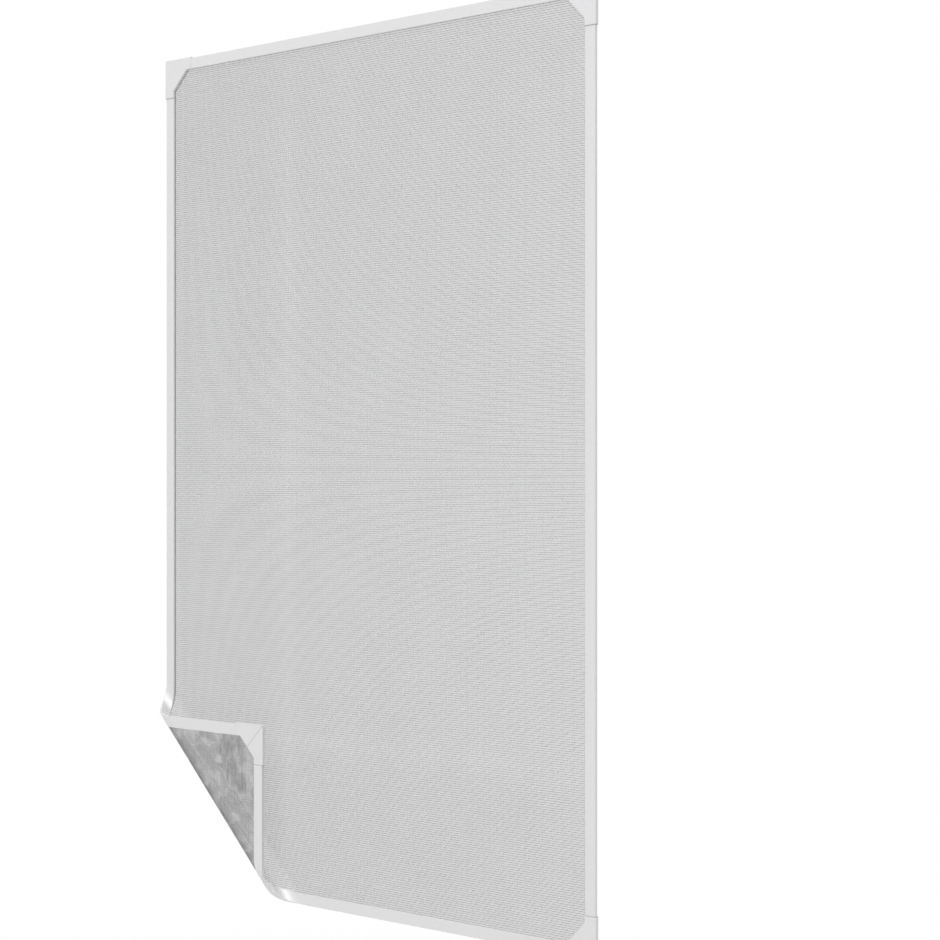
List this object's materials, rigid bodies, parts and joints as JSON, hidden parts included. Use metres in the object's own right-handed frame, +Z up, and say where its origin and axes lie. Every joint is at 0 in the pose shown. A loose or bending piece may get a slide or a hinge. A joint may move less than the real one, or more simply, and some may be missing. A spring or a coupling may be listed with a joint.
{
  "type": "magnetic window screen",
  "caption": "Upright insect screen of fine grey mesh in a flat white strip frame with magnets inside, its lower left corner peeled and folded to the front.",
  "frame": {"origin": "middle of the upper strip's magnet face, on the plane that meets the window", "axes": "+Y out of the magnet faces towards the window, +Z up, X along the width; the front looks towards -Y"},
  "size_m": [1.004, 0.054, 1.504],
  "materials": {
    "mesh": "matte",
    "strip": "satin",
    "corner": "satin",
    "magnet": "matte",
    "cord": "matte"
  },
  "bodies": {
    "root": {"mesh_panel": "mesh", "mesh_fold": "mesh", "mesh_flap": "mesh", "frame_strip_top": "strip", "frame_strip_bottom": "strip", "frame_strip_left": "strip", "frame_strip_right": "strip", "corner_piece_top_left": "corner", "corner_piece_top_right": "corner", "corner_piece_bottom_left": "corner", "corner_piece_bottom_right": "corner", "magnet_strip_top": "magnet", "magnet_strip_bottom": "magnet", "magnet_strip_left": "magnet", "magnet_strip_right": "magnet", "mesh_cord_top": "cord", "mesh_cord_bottom": "cord", "mesh_cord_left": "cord", "mesh_cord_right": "cord"}
  },
  "joints": []
}
